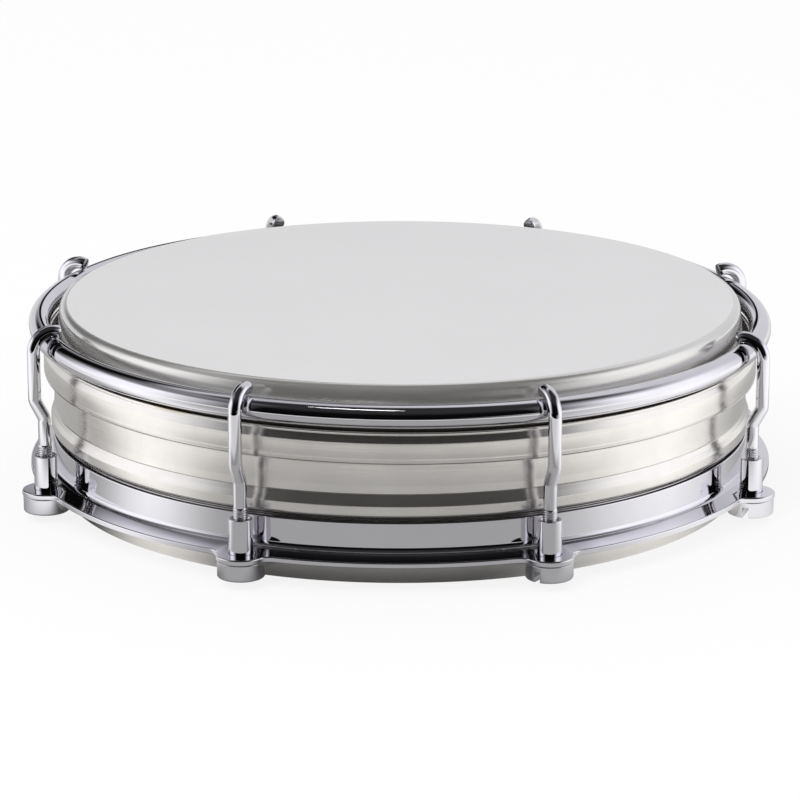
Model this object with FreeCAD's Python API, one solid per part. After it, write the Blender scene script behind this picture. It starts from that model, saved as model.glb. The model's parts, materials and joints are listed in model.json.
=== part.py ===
import FreeCAD, Part
import math
import os

from FreeCAD import Vector

# Six inch tamborim: a spun aluminium shell with a synthetic head, pulled down by eight hooks.
# Lengths are millimetres. Z = 0 is the shell's bottom rim, the head looks up along +Z.
# Radii are measured from the drum's axis, heights from the bottom rim.

# Spun shell
shell_radius = 76.2
shell_wall = 1.0
head_height = 41.7
lower_wall_step = 1.0
rim_turn_in = 2.9
rim_bend = 1.15
bead_base_height = 14.1
bead_face_height = 3.3
bead_slope_height = 1.2
bead_proud = 0.8
bead_corner_bend = 1.15
bead_cove_bend = 3.3
bead_root_bend = 0.25
neck_step = 2.0
neck_bend = 1.3
neck_slope = 45.0
bearing_edge_bend = 1.45
bearing_edge_width = 2.4

# Head film, pulled over the bearing edge
film_thickness = 0.25
film_edge_bend = 1.85
film_skirt_bend = 3.0
film_neck_clearance = 0.1
film_skirt_flare = 0.65
film_skirt_tuck_height = 1.6

# Flesh hoop: channel with a skirt that hangs outside the shell
skirt_clearance = 1.0
skirt_wall = 0.7
skirt_length = 8.2
shoulder_drop = 3.65
shoulder_bend = 1.2
groove_drop = 2.05
groove_depth = 0.75
groove_bend = 1.0
hem_radius = 0.7
channel_neck_clearance = 0.25
channel_inner_wall = 0.3
channel_floor = 0.7
channel_depth = 2.0
channel_inner_height = 1.5
resin_height = 1.1
resin_film_clearance = 0.3
hem_drop = 7.85

# Counterhoop: round bar ring on the hem of the flesh hoop
counterhoop_bar = 4.75
counterhoop_seat_gap = 0.1
counterhoop_seat_angle = 55.4

# Hooks
hook_count = 8
first_hook_angle = 22.5
hook_rod = 2.8
hook_thread = 3.0
hook_seat_gap = 0.2
shank_gap = 0.9
claw_slack = 0.425
claw_over_angle = 12.0
claw_end = 0.7
jog_offset = 2.0
jog_height = 3.8
jog_bend = 2.6
jog_above_thread = 5.2
thread_exposed = 2.4
thread_engaged = 6.0
thread_end_chamfer = 0.3

# Tension ring: upright wall under the bead, flange with an ear at each hook
ring_fit_gap = 0.1
ring_wall = 1.4
ring_top_round = 0.3
ring_height = 8.7
flange_thickness = 1.25
flange_root_fillet = 1.2
flange_edge_round = 0.3
ear_margin = 0.2
ear_blend = 2.6
ear_hole_clearance = 0.1

# Tube nuts
nut_tube = 5.0
nut_bore_clearance = 0.06
nut_tube_height = 7.5
nut_head = 9.85
nut_head_height = 3.5
nut_head_chamfer = 0.45
nut_seat_gap = 0.05
nut_mouth_chamfer = 0.35
nut_slot_width = 1.35
nut_slot_depth = 2.4

# Travel of the hoop from the tuned position
tighten_travel = 1.0
loosen_travel = 1.5
travel_clearance = 0.3

# Every cut runs this far past the face that it opens
overrun = 1.0

# Direction of each nut's slot, in degrees from the drum's radius
slot_angles = (15.0, 70.0, 125.0, 40.0, 160.0, 115.0, 125.0, 95.0)

# Shell, from the sizes above
lower_wall_radius = shell_radius - lower_wall_step
bead_radius = shell_radius + bead_proud
bead_face_top = bead_base_height + bead_face_height
bead_slope_top = bead_face_top + bead_slope_height
neck_radius = shell_radius - neck_step
crest_height = head_height - film_thickness

# Flesh hoop and head
hem_height = head_height - hem_drop
skirt_inner_radius = shell_radius + skirt_clearance
skirt_outer_radius = skirt_inner_radius + skirt_wall
hem_circle_radius = skirt_outer_radius - hem_radius
groove_radius = skirt_outer_radius - groove_depth
channel_floor_top = hem_height - channel_depth
channel_floor_bottom = channel_floor_top - channel_floor
channel_inner_radius = neck_radius + channel_neck_clearance
channel_bore_radius = channel_inner_radius + channel_inner_wall
skirt_bottom = hem_height - skirt_length
neck_bend_reach = neck_bend * math.tan(math.radians(neck_slope / 2))
neck_top_height = channel_floor_bottom - tighten_travel - travel_clearance - neck_bend_reach
neck_base_height = neck_top_height - neck_step / math.tan(math.radians(neck_slope))
film_collar_radius = neck_radius + film_neck_clearance + film_thickness
film_skirt_radius = film_collar_radius + film_skirt_flare
film_skirt_bottom = channel_floor_top + loosen_travel + travel_clearance

# Counterhoop, seated on the hem
bar_radius = counterhoop_bar / 2
seat_distance = bar_radius + hem_radius + counterhoop_seat_gap
counterhoop_radius = hem_circle_radius + seat_distance * math.cos(math.radians(counterhoop_seat_angle))
counterhoop_height = hem_height + seat_distance * math.sin(math.radians(counterhoop_seat_angle))

# Hooks and nuts, hung from the counterhoop
rod_radius = hook_rod / 2
claw_radius = bar_radius + rod_radius + claw_slack
claw_top = counterhoop_height + bar_radius + hook_seat_gap + rod_radius
claw_centre_height = claw_top - claw_radius
upper_shank_radius = counterhoop_radius + bar_radius + shank_gap + rod_radius
nut_circle_radius = upper_shank_radius - jog_offset

# Tension ring, pulled up against the bead
ring_inner_radius = lower_wall_radius + ring_fit_gap
ring_outer_radius = ring_inner_radius + ring_wall
ring_top = bead_base_height
flange_bottom = ring_top - ring_height
flange_top = flange_bottom + flange_thickness
flange_radius = nut_circle_radius
ear_radius = nut_head / 2 + ear_margin
ear_hole_radius = nut_tube / 2 + ear_hole_clearance

# Nuts and threads
nut_head_top = flange_bottom - nut_seat_gap
nut_head_bottom = nut_head_top - nut_head_height
nut_tube_top = flange_top + nut_tube_height
thread_bottom = nut_tube_top - thread_engaged
thread_top = nut_tube_top + thread_exposed
jog_bottom = thread_top + jog_above_thread
jog_top = jog_bottom + jog_height
nut_bore_bottom = thread_bottom - tighten_travel - travel_clearance
nut_bore_radius = hook_thread / 2 + nut_bore_clearance


def point(radius, height):
    """A point of a section, in the half plane right of the drum's axis."""
    return Vector(radius, 0, height)


def corner_arc(before, corner, after, bend):
    """Tangent points and middle point of the arc that rounds a corner."""
    back = (before - corner).normalize()
    forth = (after - corner).normalize()
    half = back.getAngle(forth) / 2
    reach = bend / math.tan(half)
    middle = (back + forth).normalize() * (bend / math.sin(half) - bend)
    return corner + back * reach, corner + middle, corner + forth * reach


def open_edges(corners, bends):
    """Lines and arcs along a row of corners; bends holds a radius for each inner corner."""
    edges = []
    start = corners[0]
    for before, corner, after, bend in zip(corners, corners[1:], corners[2:], bends):
        arc_start, arc_middle, arc_end = corner_arc(before, corner, after, bend)
        edges.append(Part.LineSegment(start, arc_start).toShape())
        edges.append(Part.Arc(arc_start, arc_middle, arc_end).toShape())
        start = arc_end
    edges.append(Part.LineSegment(start, corners[-1]).toShape())
    return edges


def turned_left(direction):
    """The direction a quarter turn to the left of one in the section's plane."""
    return Vector(-direction.z, 0, direction.x)


def offset_corners(corners, distance):
    """The corners of the line that runs beside a row of corners, to its left."""
    runs = [(end - start).normalize() for start, end in zip(corners, corners[1:])]
    sides = [turned_left(run) for run in runs]
    moved = [corners[0] + sides[0] * distance]
    for corner, side, next_side in zip(corners[1:], sides, sides[1:]):
        middle = (side + next_side).normalize()
        moved.append(corner + middle * (distance / middle.dot(side)))
    moved.append(corners[-1] + sides[-1] * distance)
    return moved


def sheet_section(corners, bends, thickness):
    """Section of a bent sheet; corners and bends give its right hand face."""
    inner = offset_corners(corners, thickness)
    inner_bends = []
    for before, corner, after, bend in zip(corners, corners[1:], corners[2:], bends):
        turns_left = turned_left(corner - before).dot(after - corner) > 0
        inner_bends.append(bend - thickness if turns_left else bend + thickness)
    edges = open_edges(corners, bends) + open_edges(inner, inner_bends)
    edges.append(Part.LineSegment(corners[0], inner[0]).toShape())
    edges.append(Part.LineSegment(corners[-1], inner[-1]).toShape())
    return Part.Face(Part.Wire(Part.__sortEdges__(edges)))


def revolved(face):
    """A section turned once round the drum's axis."""
    return face.revolve(Vector(0, 0, 0), Vector(0, 0, 1), 360)


def ring_band(inner_radius, outer_radius, bottom, top):
    """A plain ring of rectangular section."""
    height = top - bottom
    outer = Part.makeCylinder(outer_radius, height, Vector(0, 0, bottom))
    return outer.cut(Part.makeCylinder(inner_radius, height, Vector(0, 0, bottom)))


def hook_angle(index):
    """Direction of a hook round the drum, in degrees from +X."""
    return first_hook_angle + index * 360 / hook_count


def turned_to_hook(shape, index):
    """A shape made beside +X, turned to its place round the drum."""
    return shape.rotated(Vector(0, 0, 0), Vector(0, 0, 1), hook_angle(index))


def shell():
    """Spun from one sheet: turned-in rim, bead over the tension ring, neck and bearing edge."""
    corners = [
        point(lower_wall_radius - rim_turn_in, 0),
        point(lower_wall_radius, 0),
        point(lower_wall_radius, bead_base_height),
        point(bead_radius, bead_base_height),
        point(bead_radius, bead_face_top),
        point(shell_radius, bead_slope_top),
        point(shell_radius, neck_base_height),
        point(neck_radius, neck_top_height),
        point(neck_radius, crest_height),
        point(neck_radius - bearing_edge_width, crest_height),
    ]
    bends = [
        rim_bend,
        bead_root_bend,
        bead_corner_bend,
        bead_corner_bend,
        bead_cove_bend,
        neck_bend,
        neck_bend,
        bearing_edge_bend,
    ]
    return revolved(sheet_section(corners, bends, shell_wall))


def head_film():
    """Flat playing film, rounded over the bearing edge, with its skirt inside the channel."""
    corners = [
        point(film_skirt_radius, film_skirt_bottom),
        point(film_skirt_radius, film_skirt_bottom + film_skirt_tuck_height),
        point(film_collar_radius, head_height),
        point(0, head_height),
    ]
    return revolved(sheet_section(corners, [film_skirt_bend, film_edge_bend], film_thickness))


def flesh_hoop():
    """Skirt outside the shell with a rolled groove and hem, and inside it the film's channel."""
    corners = [
        point(skirt_outer_radius, skirt_bottom),
        point(skirt_outer_radius, hem_height - shoulder_drop),
        point(groove_radius, hem_height - groove_drop),
        point(hem_circle_radius + skirt_wall / 2, hem_height),
    ]
    skirt = revolved(sheet_section(corners, [shoulder_bend, groove_bend], skirt_wall))
    floor_radius = groove_radius - skirt_wall / 2
    floor = ring_band(channel_inner_radius, floor_radius, channel_floor_bottom, channel_floor_top)
    inner_top = channel_floor_top + channel_inner_height
    inner_wall = ring_band(channel_inner_radius, channel_bore_radius, channel_floor_bottom, inner_top)
    hem = Part.makeTorus(hem_circle_radius, hem_radius, Vector(0, 0, hem_height))
    return skirt.multiFuse([floor, inner_wall, hem]).removeSplitter()


def hoop_resin():
    """Resin that locks the film's edge in the channel."""
    inner_radius = film_skirt_radius + resin_film_clearance
    outer_radius = groove_radius - skirt_wall
    return ring_band(inner_radius, outer_radius, channel_floor_top, channel_floor_top + resin_height)


def counterhoop():
    """Round bar ring that presses on the hem of the flesh hoop."""
    return Part.makeTorus(counterhoop_radius, bar_radius, Vector(0, 0, counterhoop_height))


def tension_ring():
    """L-section ring with a rounded ear and a hole for each tube nut."""
    flange = Part.makeCylinder(flange_radius, flange_thickness, Vector(0, 0, flange_bottom))
    ear = Part.makeCylinder(ear_radius, flange_thickness, point(nut_circle_radius, flange_bottom))
    plate = flange.multiFuse([turned_to_hook(ear, index) for index in range(hook_count)]).removeSplitter()
    plate = plate.makeFillet(ear_blend, upright_edges(plate))
    plate = plate.makeFillet(flange_edge_round, level_edges(plate, flange_top) + level_edges(plate, flange_bottom))
    wall = Part.makeCylinder(ring_outer_radius, ring_height, Vector(0, 0, flange_bottom))
    body = plate.fuse(wall).removeSplitter()
    body = body.makeFillet(flange_root_fillet, root_edges(body))
    cut_height = ring_height + 2 * overrun
    body = body.cut(Part.makeCylinder(ring_inner_radius, cut_height, Vector(0, 0, flange_bottom - overrun)))
    body = body.makeFillet(ring_top_round, level_edges(body, ring_top))
    hole_height = flange_thickness + 2 * overrun
    hole = Part.makeCylinder(ear_hole_radius, hole_height, point(nut_circle_radius, flange_bottom - overrun))
    return body.cut([turned_to_hook(hole, index) for index in range(hook_count)])


def upright_edges(solid):
    """The upright straight edges that stand between flange and ears."""
    found = []
    for edge in solid.Edges:
        ends = [vertex.Point for vertex in edge.Vertexes]
        if len(ends) == 2 and isinstance(edge.Curve, Part.Line):
            across = ends[1] - ends[0]
            if math.hypot(across.x, across.y) < abs(across.z):
                if math.hypot(ends[0].x, ends[0].y) < nut_circle_radius + ear_radius / 2:
                    found.append(edge)
    return found


def level_edges(solid, height):
    """The edges that lie at one height."""
    near = flange_edge_round / 10
    return [
        edge
        for edge in solid.Edges
        if abs(edge.BoundBox.ZMin - height) < near and abs(edge.BoundBox.ZMax - height) < near
    ]


def root_edges(solid):
    """The edge where the ring's wall meets the top of its flange."""
    near = flange_edge_round / 10
    return [
        edge
        for edge in level_edges(solid, flange_top)
        if abs(edge.BoundBox.XMax - ring_outer_radius) < near
    ]


def hook(index):
    """Bent rod: claw over the counterhoop, shank, jog inwards and a threaded end."""
    claw_turn = math.radians(90 + claw_over_angle)
    claw_centre = point(upper_shank_radius - claw_radius, claw_centre_height)
    corners = [
        point(nut_circle_radius, thread_top),
        point(nut_circle_radius, jog_bottom),
        point(upper_shank_radius, jog_top),
        point(upper_shank_radius, claw_centre_height),
    ]
    edges = open_edges(corners, [jog_bend, jog_bend])
    middle = point(math.cos(claw_turn / 2), math.sin(claw_turn / 2)) * claw_radius
    tip = point(math.cos(claw_turn), math.sin(claw_turn)) * claw_radius
    edges.append(Part.Arc(corners[-1], claw_centre + middle, claw_centre + tip).toShape())
    end = tip + turned_left(tip).normalize() * claw_end
    edges.append(Part.LineSegment(claw_centre + tip, claw_centre + end).toShape())
    section = Part.Wire(Part.makeCircle(rod_radius, corners[0], Vector(0, 0, 1)))
    rod = Part.Wire(edges).makePipeShell([section], True, False)
    thread = Part.makeCylinder(hook_thread / 2, thread_top - thread_bottom, point(nut_circle_radius, thread_bottom))
    thread = thread.makeChamfer(thread_end_chamfer, round_edges(thread))
    return turned_to_hook(rod.fuse(thread), index)


def round_edges(solid):
    """The full circles of a turned solid."""
    return [edge for edge in solid.Edges if isinstance(edge.Curve, Part.Circle)]


def nut(index):
    """Slotted cheese head with a threaded tube that comes up through the ear."""
    centre = point(nut_circle_radius, 0)
    head = Part.makeCylinder(nut_head / 2, nut_head_height, centre + Vector(0, 0, nut_head_bottom))
    rim = [edge for edge in round_edges(head) if edge.BoundBox.ZMax < nut_head_bottom + nut_head_height / 2]
    head = head.makeChamfer(nut_head_chamfer, rim)
    tube_height = nut_tube_top - nut_head_top
    tube = Part.makeCylinder(nut_tube / 2, tube_height, centre + Vector(0, 0, nut_head_top))
    bore_height = nut_tube_top - nut_bore_bottom + overrun
    bore = Part.makeCylinder(nut_bore_radius, bore_height, centre + Vector(0, 0, nut_bore_bottom))
    mouth = Part.makeCone(
        nut_bore_radius,
        nut_bore_radius + nut_mouth_chamfer,
        nut_mouth_chamfer,
        centre + Vector(0, 0, nut_tube_top - nut_mouth_chamfer),
    )
    slot_length = nut_head + 2 * overrun
    corner = Vector(-slot_length / 2, -nut_slot_width / 2, nut_head_bottom - overrun)
    slot = Part.makeBox(slot_length, nut_slot_width, nut_slot_depth + overrun, corner)
    slot.rotate(Vector(0, 0, 0), Vector(0, 0, 1), slot_angles[index % len(slot_angles)])
    slot.translate(centre)
    body = head.fuse(tube).removeSplitter().cut([bore, mouth, slot])
    return turned_to_hook(body, index)


def write(name, shape):
    """One STEP file for each named piece."""
    solids = shape.Solids
    if len(solids) != 1 or not solids[0].isValid():
        raise ValueError(f"{name} is not one valid solid")
    solids[0].exportStep(f"parts/{name}.step")


def main():
    os.makedirs("parts", exist_ok=True)
    write("shell", shell())
    write("tension_ring", tension_ring())
    write("head_film", head_film())
    write("flesh_hoop", flesh_hoop())
    write("hoop_resin", hoop_resin())
    write("counterhoop", counterhoop())
    for index in range(hook_count):
        write(f"hook_{index + 1}", hook(index))
        write(f"nut_{index + 1}", nut(index))


main()
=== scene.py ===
import json
import math

import bmesh
import bpy
from bpy.props import FloatProperty, FloatVectorProperty, IntProperty, PointerProperty
from bpy.types import Operator, Panel, PropertyGroup
from mathutils import Matrix, Vector

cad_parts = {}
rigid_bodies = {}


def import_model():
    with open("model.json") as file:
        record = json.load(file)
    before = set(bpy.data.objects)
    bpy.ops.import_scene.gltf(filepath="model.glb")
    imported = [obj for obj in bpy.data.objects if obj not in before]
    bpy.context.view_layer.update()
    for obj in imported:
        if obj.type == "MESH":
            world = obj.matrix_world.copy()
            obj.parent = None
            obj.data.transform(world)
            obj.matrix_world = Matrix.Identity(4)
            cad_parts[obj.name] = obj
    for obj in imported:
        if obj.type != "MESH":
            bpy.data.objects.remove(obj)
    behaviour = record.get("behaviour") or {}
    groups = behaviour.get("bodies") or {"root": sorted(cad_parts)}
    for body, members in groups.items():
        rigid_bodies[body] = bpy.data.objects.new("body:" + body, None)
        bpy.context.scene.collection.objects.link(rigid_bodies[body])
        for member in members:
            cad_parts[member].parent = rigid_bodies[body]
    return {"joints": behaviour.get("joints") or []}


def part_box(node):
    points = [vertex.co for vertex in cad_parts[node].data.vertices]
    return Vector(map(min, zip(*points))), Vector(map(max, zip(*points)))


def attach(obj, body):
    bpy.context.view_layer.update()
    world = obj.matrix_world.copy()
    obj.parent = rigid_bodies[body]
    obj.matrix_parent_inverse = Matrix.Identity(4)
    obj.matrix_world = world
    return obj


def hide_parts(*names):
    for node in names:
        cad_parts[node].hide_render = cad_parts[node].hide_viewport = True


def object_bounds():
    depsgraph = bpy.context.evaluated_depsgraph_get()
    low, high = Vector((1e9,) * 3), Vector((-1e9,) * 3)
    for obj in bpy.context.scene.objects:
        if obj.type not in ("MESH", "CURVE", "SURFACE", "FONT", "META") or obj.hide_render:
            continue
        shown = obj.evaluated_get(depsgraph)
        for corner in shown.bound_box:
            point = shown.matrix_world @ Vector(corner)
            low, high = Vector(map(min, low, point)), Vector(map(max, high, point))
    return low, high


bl_info = {
    "name": "Tamborim",
    "version": (1, 0, 0),
    "blender": (4, 5, 0),
    "location": "3D View > Sidebar > Tamborim",
    "description": "Builds the shown pieces of a small tensioned hand drum round its fixed frame",
    "category": "Object",
}

MM = 0.001

# Steps and sides of round and bent forms
SHELL_STEPS = 360
HOOP_STEPS = 288
RESIN_STEPS = 192
BAR_STEPS = 384
BAR_SIDES = 40
NUT_STEPS = 72
HOLE_STEPS = 64
BEND_STEP = math.radians(9)
ROWS_IN_A_TURN = 8
JOG_STEPS = 8
CLAW_STEPS = 28

# Steepness of the thread's flanks, and where the weld ends, in its half widths
THREAD_FLANK = 1.6
WELD_REACH = 3

# Lamp sizes in metres, and the photo's frame
SOFT_LAMP_SIZE = (0.7, 0.7)
STRIP_LAMP_SIZE = (0.36, 0.02)
PHOTO_PIXELS = 800
SENSOR_WIDTH = 36.0

# Where parts of the room that metal shows begin and end, as components of the direction
DARK_SIDE = (0.05, -0.35)
DARK_BEGINS = (0.17, 0.27)
DARK_ENDS = (0.72, 0.85)
FLAG_ENDS = (0.45, 0.6)
BACK_BEGINS = (-0.1, 0.2)
SIDES_BEGIN = (0.43, 0.93)
SIDES_FALLOFF = 1.5
LEFT_NARROWER = 0.04

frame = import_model()
cad_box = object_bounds()

shell_body = "shell_body"
hoop_body = "hoop_body"
shell_low, shell_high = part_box("shell")
ring_low, ring_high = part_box("tension_ring")
film_low, film_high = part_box("head_film")
skirt_low, skirt_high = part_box("flesh_hoop")
resin_low, resin_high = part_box("hoop_resin")
bar_low, bar_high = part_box("counterhoop")
hook_low, hook_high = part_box("hook_1")
nut_low, nut_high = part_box("nut_1")
nut_places = [Vector(joint["pos_m"]) for joint in frame["joints"] if joint["type"] == "hinge"]
nut_circle = nut_places[0].to_2d().length
bar_radius = (bar_high.z - bar_low.z) / 2
bar_circle = bar_high.x - bar_radius
drum_radius = shell_high.x


def length(name, millimetres, description):
    """A length in the sidebar; it is given here in millimetres."""
    return FloatProperty(
        name=name,
        description=description,
        default=millimetres * MM,
        min=0.0,
        precision=5,
        subtype="DISTANCE",
        unit="LENGTH",
    )


def turn(name, degrees, description):
    """An angle in the sidebar; it is given here in degrees."""
    default = math.radians(degrees)
    return FloatProperty(
        name=name, description=description, default=default, subtype="ANGLE", unit="ROTATION"
    )


def colour(name, rgb, description):
    """A colour in the sidebar."""
    return FloatVectorProperty(
        name=name, description=description, default=rgb, min=0.0, max=1.0, size=3, subtype="COLOR"
    )


def place(name, metres, description):
    """A place in the sidebar."""
    return FloatVectorProperty(
        name=name, description=description, default=metres, size=3, subtype="TRANSLATION"
    )


def share(name, value, description):
    """A plain number, such as a roughness, a slope or a strength."""
    return FloatProperty(name=name, description=description, default=value)


def count(name, value, description):
    """A number of steps or sides."""
    return IntProperty(name=name, description=description, default=value, min=4)


class ShellSizes(PropertyGroup):
    """The spun shell: turned-in rim, bead over the tension ring, neck and bearing edge."""

    wall: length("Wall", 1.0, "Thickness of the sheet")
    lower_radius: length("Lower radius", 75.2, "Outer radius of the lower wall")
    turn_in: length("Turn-in", 2.9, "Width of the rim that is turned in")
    rim_bend: length("Rim bend", 1.15, "Rounding of the turned-in rim")
    bead_base: length("Bead base", 14.1, "Height of the bead's underside")
    bead_top: length("Bead top", 17.05, "Height of the bead's face")
    root_bend: length("Root bend", 0.25, "Rounding between lower wall and bead")
    under_bend: length("Under bend", 1.4, "Rounding under the bead")
    face_bend: length("Face bend", 0.9, "Rounding above the bead's face")
    crease: length("Crease", 19.4, "Height of the crisp crease above the bead")
    knee: length("Knee", 18.3, "Height where the slope under the crease grows steeper")
    knee_radius: length("Knee radius", 76.5, "Radius of that place")
    crease_line: length("Crease line", 0.12, "Depth of the fine line in the crease")
    flare: length("Flare", 0.06, "How far the wall flares at the crease")
    flare_height: length("Flare height", 1.7, "Height of the flare")
    wall_radius: length("Wall radius", 76.2, "Outer radius of the upper wall")
    neck_base: length("Neck base", 27.31, "Where the wall begins to draw in to the neck")
    neck_top: length("Neck top", 29.31, "Where the neck is upright again")
    neck_radius: length("Neck radius", 74.2, "Outer radius of the neck")
    neck_bend: length("Neck bend", 1.3, "Rounding of the neck")
    edge_bend: length("Edge bend", 1.45, "Rounding of the bearing edge")
    edge_width: length("Edge width", 2.4, "Width of the bearing edge")


class SeatSizes(PropertyGroup):
    """How the hoops and hooks sit on the drum: a little higher at the back and on the left."""

    lift: length("Lift", 0.45, "How far the hoops sit above their level place")
    side: share("Side", -0.0065, "Rise of the hoops for each metre to the right")
    back: share("Back", 0.0055, "Rise of the hoops for each metre to the back")
    held_below: length("Held below", 16.0, "Under this height the hooks stay straight in their nuts")
    free_above: length("Free above", 23.0, "Above this height the hooks follow the hoops")
    held_inside: length("Held inside", 76.0, "Inside this radius the channel keeps its level place")
    held_step: length("Held step", 0.5, "How far outside that radius all follows the hoops")


class FilmSizes(PropertyGroup):
    """The head: coated disc, clear collar, and the skirt in the flesh hoop's channel."""

    thickness: length("Thickness", 0.25, "Wall of the film")
    coat_radius: length("Coat radius", 73.05, "Where the white coating of the playing face ends")
    coat_step: length("Coat step", 0.06, "How proud the coating stands of the bare film")
    collar_radius: length("Collar radius", 74.55, "Outer corner over the bearing edge")
    edge_bend: length("Edge bend", 1.85, "Rounding over the bearing edge")
    skirt_bend: length("Skirt bend", 3.0, "Rounding where the collar meets the skirt")
    tuck_height: length("Tuck height", 1.6, "Upright end of the skirt")


class FleshHoopSizes(PropertyGroup):
    """The channel hoop that holds the film, with a grooved skirt and a rolled hem."""

    wall: length("Wall", 0.7, "Wall of the skirt")
    shoulder_drop: length("Shoulder drop", 3.1, "From the hem's centre down to the top of the plain skirt")
    shoulder_bend: length("Shoulder bend", 1.2, "Rounding of the shoulder")
    slope_depth: length("Slope depth", 0.55, "How far the slope above the shoulder leans in")
    roll_drop: length("Roll drop", 1.25, "From the hem's centre down to the middle of the small roll")
    roll_radius: length("Roll radius", 0.36, "Radius of the small roll")
    roll_depth: length("Roll depth", 0.2, "How far the small roll lies inside the skirt")
    groove_depth: length("Groove depth", 1.15, "Depth of the groove between hem and small roll")
    groove_lean: length("Groove lean", 0.13, "How far the groove leans in to its top")
    hem_radius: length("Hem radius", 0.7, "Radius of the rolled hem")
    hem_depth: length("Hem depth", 0.3, "How far the hem lies inside the skirt")
    hem_height: length("Hem height", 1.05, "Height of the hem's outside")
    spread: length("Spread", 0.4, "How far the skirt spreads beyond its plain radius")
    trim: length("Trim", 0.55, "How much shorter the skirt is trimmed")
    edge_round: length("Edge round", 0.04, "Rounding of the skirt's trimmed edge")
    edge_line: length("Edge line", 0.12, "Depth of the fine line along the skirt's edge")
    floor_drop: length("Floor drop", 2.0, "From the hem's centre down to the channel's floor")
    floor_wall: length("Floor wall", 0.7, "Wall of the channel's floor")
    inner_radius: length("Inner radius", 74.45, "Bore of the channel")
    inner_wall: length("Inner wall", 0.3, "Wall of the channel's inner side")
    inner_height: length("Inner height", 1.5, "Height of the channel's inner side")
    crease_height: length("Crease height", 1.15, "Height of the pressed crease over the skirt's edge")
    crease_depth: length("Crease depth", 0.012, "Depth of that crease")


class RingSizes(PropertyGroup):
    """The tension ring: upright wall, flange, and an ear with a hole at each hook."""

    wall_radius: length("Wall radius", 76.7, "Outer radius of the upright wall")
    wall: length("Wall", 1.4, "Thickness of the upright wall")
    wall_round: length("Wall round", 0.3, "Rounding of the wall's outer upper edge")
    bead_gap: length("Bead gap", 0.55, "Gap between the wall's top and the shell's bead")
    flange_thickness: length("Flange thickness", 1.25, "Thickness of the flange")
    flange_rise: length("Flange rise", 0.6, "How far the flange's top rises to the wall")
    flange_round: length("Flange round", 0.3, "Rounding of the outer edges of flange and ears")
    root_fillet: length("Root fillet", 1.3, "Fillet between wall and flange")
    ear_radius: length("Ear radius", 5.125, "Radius of the ears")
    ear_blend: length("Ear blend", 2.6, "Concave rounding where an ear leaves the flange")
    hole_radius: length("Hole radius", 2.6, "Radius of the ears' holes")
    ear_steps: count("Ear steps", 14, "Steps round half an ear")
    blend_steps: count("Blend steps", 10, "Steps round one concave rounding")
    flange_steps: count("Flange steps", 28, "Steps to halfway to the next ear")


class CounterhoopSizes(PropertyGroup):
    """The round bar ring and its butt weld."""

    weld_bulge: length("Weld bulge", 0.05, "How proud the ground weld stands")
    weld_width: length("Weld width", 0.9, "Half width of the weld along the bar")
    weld_place: turn("Weld place", 90.0, "Where the weld lies round the drum, from +X")


class HookSizes(PropertyGroup):
    """The eight bent and threaded hooks."""

    rod_radius: length("Rod radius", 1.4, "Radius of the bent rod")
    thread_radius: length("Thread radius", 1.5, "Radius over the thread's crests")
    thread_pitch: length("Thread pitch", 0.5, "Rise of the thread in one turn")
    thread_depth: length("Thread depth", 0.27, "Depth of the thread")
    thread_length: length("Thread length", 8.4, "Length of the threaded end")
    end_chamfer: length("End chamfer", 0.3, "Chamfer of the threaded end")
    jog_rise: length("Jog rise", 5.2, "Plain rod between the thread and the jog")
    jog_offset: length("Jog offset", 2.0, "How far the jog leads the rod outwards")
    jog_height: length("Jog height", 3.8, "Height of the jog")
    jog_bend: length("Jog bend", 2.6, "Bend radius of the jog")
    claw_radius: length("Claw radius", 4.2, "Bend radius of the claw over the counterhoop")
    claw_turn: turn("Claw turn", 102.0, "How far the claw turns from the upright shank")
    claw_end: length("Claw end", 0.7, "Straight end of the claw")
    cut_bevel: length("Cut bevel", 0.16, "Broken edge of the sheared end")
    sides: count("Sides", 32, "Sides of the rod's section")


class NutSizes(PropertyGroup):
    """The eight slotted tube nuts."""

    tube_radius: length("Tube radius", 2.5, "Outer radius of the tube")
    tube_height: length("Tube height", 8.8, "Tube above the head")
    head_radius: length("Head radius", 4.925, "Radius of the round head")
    head_rim: length("Head rim", 0.45, "Rounding of the head's lower rim")
    head_edge: length("Head edge", 0.12, "Broken upper edge of the head")
    bore_radius: length("Bore radius", 1.56, "Radius of the threaded bore")
    bore_floor: length("Bore floor", 5.0, "Height of the blind bore's floor over the head's lower face")
    mouth: length("Mouth", 0.35, "Countersink at the bore's mouth")
    tube_edge: length("Tube edge", 0.15, "Broken upper edge of the tube")
    slot_width: length("Slot width", 1.35, "Width of the screwdriver slot")
    slot_depth: length("Slot depth", 2.4, "Depth of the screwdriver slot")
    slot_bevel: length("Slot bevel", 0.07, "Broken edges of the slot")
    slot_turns: FloatVectorProperty(
        name="Slot turns",
        description="Direction of each nut's slot from the drum's radius",
        default=[math.radians(angle) for angle in (15, 70, 125, 40, 160, 115, 125, 95)],
        size=8,
        subtype="DIRECTION",
    )


class ResinSizes(PropertyGroup):
    """The resin bead in the channel."""

    width: length("Width", 0.95, "Width of the bead in the channel")
    sag: length("Sag", 0.35, "How far the bead's top sinks between its edges")


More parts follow.
